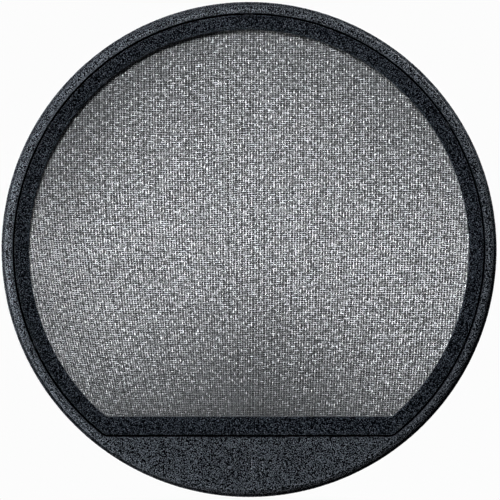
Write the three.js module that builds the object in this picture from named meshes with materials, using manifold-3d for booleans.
// Clamp-on pop filter: a round, double-sided fabric screen with a flat chin, on a gooseneck with a
// screw clamp. Millimetres, +Z up. The screen faces -Y. The origin is the middle of the fixed jaw's
// rubber face, where a microphone stand's tube is gripped, and +X points from that face to the screw.
import * as THREE from 'three';
import { mergeVertices } from 'three/addons/utils/BufferGeometryUtils.js';
import Module from 'manifold-3d';

const wasm = await Module();
wasm.setup();

// ---- Driving dimensions ----
const ARC_TOLERANCE = 0.05; // how far a facet may lie inside its arc

const HEAD_RADIUS = 76.2; // a 6 inch head
const HEAD_HALF_DEPTH = 8; // the head's middle plane is y = 0 in the head's own frame
const REAR_LIP = 1.1; // the rear shell stands this far outside the front shell
const FRONT_CROWN = 2.6; // radius that rounds the front shell's rim over
const REAR_CROWN = 1.5;
const RIM_WIDTH = 4.05; // from the bezel's seat out to the rear lip
const CHIN_TOP = -57.1; // height of the straight seam above the chin, from the head's centre
const SEAM_FILLET = 3.2;
const BEZEL_WIDTH = 4.75; // round the arc
const BEZEL_CHIN_WIDTH = 5.95; // along the chin
const OPENING_FILLET = 1.4;
const SHELL_WALL = 2.2;
const FIT_GAP = 0.25; // clearance round a piece that drops into a seat
const MESH_THICKNESS = 0.3;

const CASE_SCREW_CIRCLE = 72.2;
const CASE_SCREW_ANGLES = [90, 32, 148, -24, 204];
const CHIN_SCREW_X = 36;
const CHIN_SCREW_Z = -61.2;

const NECK_AXIS_Z = -65; // the neck meets the head behind the chin
const NECK_RADIUS = 5;
const LINK_LENGTH = 18;
const LINK_JOINTS = 16;
const LINK_CONE_DEG = 8; // each link's ends fall away, so that two links can lean 16 degrees
const LINK_GAP = 0.2;
const REST_BEND_DEG = 5; // at each pitch joint: down over the first half, up over the second
const STUD_RADIUS = 3;

const JAW_OPENING = 32; // between the two rubber faces with the screw wound out
const SCREW_TRAVEL = 20;
const CLAMP_HALF_HEIGHT = 11;
const NECK_AXIS_X = 20; // the neck leaves the middle of the clamp's spine

// ---- Materials ----
const material = (color, roughness, metalness) =>
  new THREE.MeshStandardMaterial({ color, roughness, metalness });
const GRAINED_SHELL = material(0x2b2e33, 0.55, 0);
const BEZEL_PLASTIC = material(0x1f2226, 0.7, 0);
const SCREEN_FABRIC = material(0x6f7478, 0.9, 0);
const HOOP_PLASTIC = material(0x17181a, 0.6, 0);
const NECK_METAL = material(0x1b1c1e, 0.4, 0.6);
const FERRULE_METAL = material(0x26282b, 0.35, 0.8);
const CLAMP_PAINT = material(0x202226, 0.5, 0.2);
const KNOB_PLASTIC = material(0x18191b, 0.6, 0);
const RUBBER = material(0x111213, 0.9, 0);
const STEEL = material(0x9a9da1, 0.3, 1);
const BLACK_STEEL = material(0x2a2b2d, 0.4, 1);
const BRASS = material(0xb08d4a, 0.35, 1);

// ---- Solids ----
function solidOf(geometry) {
  const bare = geometry.clone();
  bare.deleteAttribute('normal');
  bare.deleteAttribute('uv');
  const merged = mergeVertices(bare, 1e-4);
  return new wasm.Manifold(
    new wasm.Mesh({
      numProp: 3,
      vertProperties: new Float32Array(merged.attributes.position.array),
      triVerts: new Uint32Array(merged.index.array),
    }),
  );
}

function geometryOf(solid) {
  const { vertProperties, triVerts } = solid.getMesh();
  const indexed = new THREE.BufferGeometry()
    .setAttribute('position', new THREE.BufferAttribute(vertProperties, 3))
    .setIndex(new THREE.BufferAttribute(triVerts, 1));
  const flat = indexed.toNonIndexed();
  flat.computeVertexNormals();
  return flat;
}

const joined = (...geometries) =>
  geometryOf(geometries.map(solidOf).reduce((whole, next) => whole.add(next)));

const cut = (geometry, ...tools) =>
  geometryOf(tools.map(solidOf).reduce((left, tool) => left.subtract(tool), solidOf(geometry)));

const trimmed = (geometry, envelope) =>
  geometryOf(solidOf(geometry).intersect(solidOf(envelope)));

// ---- Outlines, drawn in a plane whose axes are x and z ----
// Points of an arc, from one angle to another in radians, with as few facets as the tolerance allows.
function arc(x, z, radius, from, to) {
  const step = 2 * Math.acos(1 - ARC_TOLERANCE / radius);
  const count = Math.max(2, Math.ceil(Math.abs(to - from) / step));
  return Array.from({ length: count + 1 }, (_, i) => {
    const angle = from + ((to - from) * i) / count;
    return new THREE.Vector2(x + radius * Math.cos(angle), z + radius * Math.sin(angle));
  });
}

const circle = (radius, x = 0, z = 0) => arc(x, z, radius, 0, 2 * Math.PI).slice(0, -1);

// A circle cut off by a level chord, with both corners rounded.
function chordedCircle(radius, chordZ, fillet) {
  const centreZ = chordZ + fillet;
  const centreX = Math.sqrt((radius - fillet) ** 2 - centreZ ** 2);
  const cornerAngle = Math.atan2(centreZ, centreX);
  return [
    ...arc(0, 0, radius, cornerAngle, Math.PI - cornerAngle),
    ...arc(-centreX, centreZ, fillet, Math.PI - cornerAngle, 1.5 * Math.PI),
    ...arc(centreX, centreZ, fillet, -Math.PI / 2, cornerAngle).slice(0, -1),
  ];
}

function roundedRectangle(width, height, radius, x = 0, z = 0) {
  const dx = width / 2 - radius;
  const dz = height / 2 - radius;
  const quarter = Math.PI / 2;
  return [
    ...arc(x + dx, z + dz, radius, 0, quarter),
    ...arc(x - dx, z + dz, radius, quarter, 2 * quarter),
    ...arc(x - dx, z - dz, radius, 2 * quarter, 3 * quarter),
    ...arc(x + dx, z - dz, radius, 3 * quarter, 4 * quarter),
  ];
}

// An outline, with holes, as a plate between two depths: y runs from front to back.
function plate(outline, holes, front, back) {
  const shape = new THREE.Shape(outline);
  shape.holes = holes.map((points) => new THREE.Path(points));
  return new THREE.ExtrudeGeometry(shape, { depth: back - front, bevelEnabled: false })
    .rotateX(Math.PI / 2)
    .translate(0, back, 0);
}

// A turned piece. Its profile is a list of [radius, y] with the y values falling, about the y axis.
function turned(profile) {
  const widest = Math.max(...profile.map(([radius]) => radius));
  const facets = 4 * Math.ceil(Math.PI / (4 * Math.acos(1 - ARC_TOLERANCE / widest)));
  return new THREE.LatheGeometry(
    profile.map(([radius, y]) => new THREE.Vector2(radius, y)).reverse(),
    facets,
  );
}

const rod = (radius, front, back) =>
  turned([
    [0, back],
    [radius, back],
    [radius, front],
    [0, front],
  ]);

const tube = (outer, inner, front, back) =>
  turned([
    [inner, back],
    [outer, back],
    [outer, front],
    [inner, front],
    [inner, back],
  ]);

// A disc whose front and back rims are rounded over.
function crownedDisc(radius, front, back, frontCrown, backCrown) {
  const steps = [0, 1, 2, 3, 4];
  const quarter = (step) => (step * Math.PI) / 8;
  return turned([
    [0, back],
    ...steps.map((step) => [
      radius - backCrown * (1 - Math.sin(quarter(step))),
      back - backCrown * (1 - Math.cos(quarter(step))),
    ]),
    ...steps.map((step) => [
      radius - frontCrown * (1 - Math.cos(quarter(step))),
      front + frontCrown * (1 - Math.sin(quarter(step))),
    ]),
    [0, front],
  ]);
}

const hexNut = (acrossFlats, bore, front, back) =>
  plate(
    Array.from({ length: 6 }, (_, i) => {
      const angle = (i * Math.PI) / 3;
      const corner = acrossFlats / Math.sqrt(3);
      return new THREE.Vector2(corner * Math.cos(angle), corner * Math.sin(angle));
    }),
    [circle(bore)],
    front,
    back,
  );

// ---- Scene graph helpers ----
function node(name, geometry, finish, x = 0, y = 0, z = 0) {
  const mesh = new THREE.Mesh(geometry, finish);
  mesh.name = name;
  mesh.position.set(x, y, z);
  return mesh;
}

function group(...members) {
  const made = new THREE.Group();
  made.add(...members);
  return made;
}

// ---- The head: two shells round a stack of hoops and stretched fabric ----
const FRONT = -HEAD_HALF_DEPTH;
const BACK = HEAD_HALF_DEPTH;
const FRONT_RADIUS = HEAD_RADIUS - REAR_LIP;
const SEAM_RADIUS = HEAD_RADIUS - RIM_WIDTH;
const OPENING_RADIUS = SEAM_RADIUS - BEZEL_WIDTH;
const OPENING_CHORD = CHIN_TOP + BEZEL_CHIN_WIDTH;
const STACK_RADIUS = 70; // hoops and fabric, inside the screw posts
const STACK_CHORD = -54.6;
const STACK_FILLET = 2;
const PARTING_GAP = 0.1; // each side of y = 0
const SKIRT_DEPTH = 4.1; // where the bezel and the rear shell press on the fabric
const HOOP_BACK = 2.2;
const INNER_MESH = 1.8;
const LEDGE_FRONT = FRONT + 2.4;
const LEDGE_BACK = FRONT + 3.8;
const POST_RADIUS = 1.9;
const LIP_EDGE = 0.3;
const BLANK_RADIUS = HEAD_RADIUS + 1; // before a shell is trimmed to its crowned outside
const FLANGE_INNER = BACK - 2.4;

const seamOutline = (offset) =>
  chordedCircle(SEAM_RADIUS - offset, CHIN_TOP + offset, SEAM_FILLET - offset);
const openingOutline = () => chordedCircle(OPENING_RADIUS, OPENING_CHORD, OPENING_FILLET);
const stackOutline = (offset = 0) =>
  chordedCircle(STACK_RADIUS + offset, STACK_CHORD - offset, STACK_FILLET);

const casePosts = [
  ...CASE_SCREW_ANGLES.map((degrees) => {
    const angle = THREE.MathUtils.degToRad(degrees);
    return [CASE_SCREW_CIRCLE * Math.cos(angle), CASE_SCREW_CIRCLE * Math.sin(angle)];
  }),
  [-CHIN_SCREW_X, CHIN_SCREW_Z],
  [CHIN_SCREW_X, CHIN_SCREW_Z],
];
const platePosts = [
  [-14, NECK_AXIS_Z],
  [14, NECK_AXIS_Z],
];

const sideWall = (inner, front, back) => plate(circle(BLANK_RADIUS), [circle(inner)], front, back);
const atPost = (geometry, [x, z]) => geometry.clone().translate(x, 0, z);

function frontShell() {
  const posts = casePosts.map((post) =>
    atPost(rod(POST_RADIUS, LEDGE_BACK - 0.4, -PARTING_GAP), post),
  );
  const pilotHoles = casePosts.map((post) => atPost(rod(1.1, -3.4, 1), post));
  const blank = joined(
    plate(circle(BLANK_RADIUS), [seamOutline(0)], FRONT, LEDGE_FRONT),
    plate(circle(BLANK_RADIUS), [stackOutline(0.4)], LEDGE_FRONT - 0.1, LEDGE_BACK),
    sideWall(FRONT_RADIUS - SHELL_WALL, LEDGE_BACK - 0.1, -PARTING_GAP),
    ...posts,
  );
  const envelope = crownedDisc(FRONT_RADIUS, FRONT, -PARTING_GAP, FRONT_CROWN, LIP_EDGE);
  return cut(trimmed(blank, envelope), ...pilotHoles);
}

function frontBezel() {
  return joined(
    plate(seamOutline(FIT_GAP), [openingOutline()], FRONT + 1, LEDGE_FRONT - 0.1),
    plate(stackOutline(), [openingOutline()], LEDGE_FRONT - 0.2, -SKIRT_DEPTH),
  );
}

function rearShell() {
  const posts = casePosts.map((post) =>
    atPost(rod(POST_RADIUS, PARTING_GAP, FLANGE_INNER + 0.4), post),
  );
  const screwHoles = casePosts.flatMap((post) => [
    atPost(rod(1.25, -1, BACK + 1), post),
    atPost(rod(2.15, BACK - 1.5, BACK + 1), post),
  ]);
  const neckBoss = rod(NECK_BOSS_RADIUS, 3, BACK + NECK_BOSS_HEIGHT).translate(0, 0, NECK_AXIS_Z);
  const insertSeat = rod(5, 2, BACK + NECK_BOSS_HEIGHT + 1).translate(0, 0, NECK_AXIS_Z);
  const blank = joined(
    plate(circle(BLANK_RADIUS), [openingOutline()], FLANGE_INNER, BACK),
    sideWall(HEAD_RADIUS - SHELL_WALL, PARTING_GAP, FLANGE_INNER + 0.1),
    plate(stackOutline(), [openingOutline()], SKIRT_DEPTH, FLANGE_INNER + 0.1),
  );
  const body = joined(
    trimmed(blank, crownedDisc(HEAD_RADIUS, PARTING_GAP, BACK, LIP_EDGE, REAR_CROWN)),
    neckBoss,
    ...posts,
    ...platePosts.map((post) => atPost(rod(2.6, 2.9, FLANGE_INNER + 0.4), post)),
  );
  const plateHoles = platePosts.map((post) => atPost(rod(1.1, 1, FLANGE_INNER - 0.4), post));
  return cut(body, insertSeat, ...screwHoles, ...plateHoles);
}

const hoop = (front, back) => plate(stackOutline(), [openingOutline()], front, back);
const mesh = (front) => plate(stackOutline(), [], front, front + MESH_THICKNESS);

// A countersunk self-tapping screw, driven from the back.
const caseScrew = () =>
  turned([
    [0, BACK - 0.15],
    [1.95, BACK - 0.15],
    [1.95, BACK - 0.6],
    [1.0, BACK - 1.4],
    [1.0, -2.6],
    [0, -3.2],
  ]);

// A pan-head screw that holds the chin plate, driven from the front.
const plateScrew = () =>
  turned([
    [0, 5],
    [1.0, 5],
    [1.0, 1.0],
    [2.0, 1.0],
    [2.0, -0.3],
    [0, -0.3],
  ]);

const chinPlate = () =>
  plate(
    roundedRectangle(38, 10, 2, 0, NECK_AXIS_Z + 0.5),
    platePosts.map(([x, z]) => circle(1.25, x, z)),
    1.15,
    2.75,
  );

// ---- Neck fittings: an insert, a lock nut and a ferrule at each end, along the y axis ----
const NECK_BOSS_RADIUS = 8;
const NECK_BOSS_HEIGHT = 6;
const INSERT_LENGTH = 11;
const NUT_THICKNESS = 4;
const FERRULE_LENGTH = 22;
const FERRULE_RADIUS = 6.6;
const STUD_LENGTH = 15;
const SEAT_GAP = 0.3;

const threadedInsert = () => tube(4.8, STUD_RADIUS + 0.2, 0, INSERT_LENGTH);
const lockNut = () => hexNut(12, STUD_RADIUS + 0.2, 0, NUT_THICKNESS);

// From its stud's tip at y = 0 to the mouth that holds the hose. Its waist takes a spanner.
const FERRULE_TOTAL = STUD_LENGTH + FERRULE_LENGTH;
const ferrule = () =>
  turned([
    [0, FERRULE_TOTAL],
    [FERRULE_RADIUS - 0.9, FERRULE_TOTAL],
    [FERRULE_RADIUS, FERRULE_TOTAL - 1.2],
    [FERRULE_RADIUS, STUD_LENGTH + 5],
    [FERRULE_RADIUS - 0.8, STUD_LENGTH + 4.2],
    [FERRULE_RADIUS - 0.8, STUD_LENGTH + 3],
    [FERRULE_RADIUS, STUD_LENGTH + 2.2],
    [FERRULE_RADIUS, STUD_LENGTH + 0.8],
    [FERRULE_RADIUS - 0.8, STUD_LENGTH],
    [STUD_RADIUS, STUD_LENGTH],
    [STUD_RADIUS, 0.6],
    [STUD_RADIUS - 0.6, 0],
    [0, 0],
  ]);

// A stretch of hose from y = front to y = back, whose ends are cones with their tips on the pivots.
function hose(front, back, coneAtFront = true, coneAtBack = true) {
  const fall = NECK_RADIUS * Math.tan(THREE.MathUtils.degToRad(LINK_CONE_DEG));
  return turned([
    [0, back - LINK_GAP],
    [NECK_RADIUS, back - LINK_GAP - (coneAtBack ? fall : 0)],
    [NECK_RADIUS, front + LINK_GAP + (coneAtFront ? fall : 0)],
    [0, front + LINK_GAP],
  ]);
}

// ---- The clamp: a C-shaped body, a fixed rubber jaw, and a screw that drives a swivelling pad ----
const FIXED_ARM = { inner: -2.8, outer: -10 };
const SCREW_ARM = { inner: JAW_OPENING + 7.6, outer: JAW_OPENING + 18 };
const SPINE = { inner: -19, outer: -28 };
const ARM_TIP = 13;
const SPINE_BOSS_HEIGHT = 4;
const BUSH_BOSS = 3;
const SCREW_RADIUS = 3.95;
const PAD_RADIUS = 9.4;
const KNOB_RADIUS = 15;
const KNOB_LOBES = 7;
const KNOB_FRONT = SCREW_ARM.outer + BUSH_BOSS + SCREW_TRAVEL + 1;
const KNOB_LENGTH = 15;

// Turned pieces lie along y; this lays one along x, its y values becoming x values.
const alongX = (geometry) => geometry.clone().rotateZ(-Math.PI / 2);

// The C, seen from above: x to the right, y away. It is drawn anticlockwise.
function clampOutline() {
  const corner = 5;
  const tip = 2.5;
  const inner = 3;
  const quarter = Math.PI / 2;
  return [
    ...arc(FIXED_ARM.outer + corner, SPINE.outer + corner, corner, 2 * quarter, 3 * quarter),
    ...arc(SCREW_ARM.outer - corner, SPINE.outer + corner, corner, -quarter, 0),
    ...arc(SCREW_ARM.outer - tip, ARM_TIP - tip, tip, 0, quarter),
    ...arc(SCREW_ARM.inner + tip, ARM_TIP - tip, tip, quarter, 2 * quarter),
    ...arc(SCREW_ARM.inner - inner, SPINE.inner + inner, inner, 0, -quarter),
    ...arc(FIXED_ARM.inner + inner, SPINE.inner + inner, inner, -quarter, -2 * quarter),
    ...arc(FIXED_ARM.inner - tip, ARM_TIP - tip, tip, 0, quarter),
    ...arc(FIXED_ARM.outer + tip, ARM_TIP - tip, tip, quarter, 2 * quarter),
  ];
}

function clampBody() {
  const frame = new THREE.ExtrudeGeometry(new THREE.Shape(clampOutline()), {
    depth: 2 * CLAMP_HALF_HEIGHT,
    bevelEnabled: false,
  }).translate(0, 0, -CLAMP_HALF_HEIGHT);
  const spineBoss = rod(NECK_BOSS_RADIUS, SPINE.outer - SPINE_BOSS_HEIGHT, SPINE.outer + 1);
  const insertSeat = rod(5, SPINE.outer - SPINE_BOSS_HEIGHT - 1, SPINE.outer + 7.2);
  const bushBoss = alongX(rod(9, SCREW_ARM.outer - 1, SCREW_ARM.outer + BUSH_BOSS));
  const bushSeat = alongX(rod(6.2, SCREW_ARM.inner - 1, SCREW_ARM.outer + BUSH_BOSS + 1));
  return cut(
    joined(frame, spineBoss.translate(NECK_AXIS_X, 0, 0), bushBoss),
    insertSeat.translate(NECK_AXIS_X, 0, 0),
    bushSeat,
  );
}

const jawPad = () =>
  new THREE.BoxGeometry(2.5, 24, 19).translate(-1.25, 0, 0);

const clampBush = () =>
  alongX(tube(6, SCREW_RADIUS + 0.25, SCREW_ARM.inner + 0.1, SCREW_ARM.outer + BUSH_BOSS));

// The screw's thin tip turns in the pad's cup, and a snap ring keeps it there.
const TIP_RADIUS = 2.4;
const CUP = { front: JAW_OPENING + 2.6, floor: JAW_OPENING + 4.6, back: JAW_OPENING + 6.6 };

const clampScrew = () =>
  alongX(
    turned([
      [0, KNOB_FRONT + 11.6],
      [SCREW_RADIUS, KNOB_FRONT + 11.6],
      [SCREW_RADIUS, CUP.back + 0.3],
      [TIP_RADIUS, CUP.back + 0.3],
      [TIP_RADIUS, CUP.front + 0.4],
      [0, CUP.front + 0.4],
    ]),
  );

const snapRing = () => alongX(tube(4.2, TIP_RADIUS + 0.1, CUP.floor - 0.9, CUP.floor - 0.2));

const pressureCup = () =>
  alongX(
    turned([
      [5, CUP.floor],
      [5, CUP.front],
      [PAD_RADIUS, CUP.front],
      [PAD_RADIUS, CUP.floor],
      [6, CUP.back],
      [TIP_RADIUS + 0.3, CUP.back],
      [TIP_RADIUS + 0.3, CUP.floor],
      [5, CUP.floor],
    ].reverse()),
  );

const pressurePad = () => alongX(rod(PAD_RADIUS - 0.4, JAW_OPENING, CUP.front - 0.1));

// A lobed hand knob with a round hub towards the clamp and a shallow seat for its cap.
function clampKnob() {
  const hubLength = 3;
  const facets = KNOB_LOBES * 12;
  const lobeDepth = 1.4;
  const outline = Array.from({ length: facets }, (_, i) => {
    const angle = (i * 2 * Math.PI) / facets;
    const radius = KNOB_RADIUS - lobeDepth * (1 - Math.cos(KNOB_LOBES * angle)) * 0.5;
    return new THREE.Vector2(radius * Math.cos(angle), radius * Math.sin(angle));
  });
  const back = KNOB_FRONT + KNOB_LENGTH;
  const body = joined(
    plate(outline, [], KNOB_FRONT + hubLength, back),
    rod(8, KNOB_FRONT, KNOB_FRONT + hubLength + 1),
  );
  return alongX(
    cut(body, rod(SCREW_RADIUS + 0.2, KNOB_FRONT - 1, KNOB_FRONT + 12), rod(9.3, back - 1.5, back + 1)),
  );
}

const knobCap = () =>
  alongX(rod(9, KNOB_FRONT + KNOB_LENGTH - 1.3, KNOB_FRONT + KNOB_LENGTH + 0.2));

// ---- Assembly ----
function buildHead() {
  const screenStack = group(
    node('front_mesh_outer', mesh(-4), SCREEN_FABRIC),
    node('front_hoop', hoop(-3.6, -HOOP_BACK), HOOP_PLASTIC),
    node('front_mesh_inner', mesh(-INNER_MESH - MESH_THICKNESS), SCREEN_FABRIC),
    node('spacer_ring', hoop(-INNER_MESH + 0.1, INNER_MESH - 0.1), HOOP_PLASTIC),
    node('rear_mesh_inner', mesh(INNER_MESH), SCREEN_FABRIC),
    node('rear_hoop', hoop(HOOP_BACK, 3.6), HOOP_PLASTIC),
    node('rear_mesh_outer', mesh(4 - MESH_THICKNESS), SCREEN_FABRIC),
  );
  const caseScrews = casePosts.map(([x, z], i) =>
    node(`case_screw_${i + 1}`, caseScrew(), BLACK_STEEL, x, 0, z),
  );
  const plateScrews = platePosts.map(([x, z], i) =>
    node(`plate_screw_${i + 1}`, plateScrew(), STEEL, x, 0, z),
  );
  return group(
    node('front_shell', frontShell(), GRAINED_SHELL),
    node('rear_shell', rearShell(), GRAINED_SHELL),
    node('front_bezel', frontBezel(), BEZEL_PLASTIC),
    node('chin_plate', chinPlate(), STEEL),
    screenStack,
    ...caseScrews,
    ...plateScrews,
  );
}

// Insert, nut, ferrule and half a link of hose, from the face of a boss at y = 0 towards +y.
function buildNeckEnd(end) {
  const nutAt = SEAT_GAP;
  const ferruleAt = nutAt + NUT_THICKNESS + SEAT_GAP - STUD_LENGTH;
  const hoseAt = ferruleAt + FERRULE_TOTAL;
  const stub = hose(0, LINK_LENGTH / 2, false, true);
  const made = group(
    node(`${end}_insert`, threadedInsert(), BRASS, 0, -INSERT_LENGTH, 0),
    node(`${end}_lock_nut`, lockNut(), FERRULE_METAL, 0, nutAt, 0),
    node(`${end}_ferrule`, ferrule(), FERRULE_METAL, 0, ferruleAt, 0),
    node(`${end}_hose_stub`, stub, NECK_METAL, 0, hoseAt, 0),
  );
  made.userData.pivotY = hoseAt + LINK_LENGTH / 2;
  return made;
}

// The hose as a chain from the clamp to the head. Odd joints yaw and even joints pitch about x.
function buildNeckAndHead() {
  const neckEnd = buildNeckEnd('head');
  neckEnd.position.set(0, BACK + NECK_BOSS_HEIGHT, NECK_AXIS_Z);
  const head = group(buildHead(), neckEnd);
  head.position.set(0, -(BACK + NECK_BOSS_HEIGHT + neckEnd.userData.pivotY), -NECK_AXIS_Z);
  let outward = head;
  for (let joint = LINK_JOINTS; joint >= 1; joint -= 1) {
    const pivot = group(outward);
    const pitches = joint % 2 === 0;
    const towardsHead = joint > LINK_JOINTS / 2;
    pivot.rotation.x = pitches ? THREE.MathUtils.degToRad(REST_BEND_DEG) * (towardsHead ? -1 : 1) : 0;
    if (joint > 1) {
      pivot.position.set(0, -LINK_LENGTH, 0);
      const name = `neck_link_${String(joint - 1).padStart(2, '0')}`;
      outward = group(node(name, hose(-LINK_LENGTH, 0), NECK_METAL), pivot);
    } else {
      outward = pivot;
    }
  }
  return outward;
}

function buildClamp() {
  return group(
    node('clamp_body', clampBody(), CLAMP_PAINT),
    node('jaw_pad', jawPad(), RUBBER),
    node('clamp_bush', clampBush(), BRASS),
    node('clamp_screw', clampScrew(), STEEL),
    node('snap_ring', snapRing(), BLACK_STEEL),
    node('pressure_cup', pressureCup(), BLACK_STEEL),
    node('pressure_pad', pressurePad(), RUBBER),
    node('clamp_knob', clampKnob(), KNOB_PLASTIC),
    node('knob_cap', knobCap(), KNOB_PLASTIC),
  );
}

function buildPopFilter() {
  const clampEnd = buildNeckEnd('clamp');
  clampEnd.rotation.z = Math.PI;
  clampEnd.position.set(NECK_AXIS_X, SPINE.outer - SPINE_BOSS_HEIGHT, 0);
  const neck = buildNeckAndHead();
  neck.position.set(NECK_AXIS_X, clampEnd.position.y - clampEnd.userData.pivotY, 0);
  return group(buildClamp(), clampEnd, neck);
}

const popFilter = buildPopFilter();
popFilter.name = 'pop_filter';

export default popFilter;
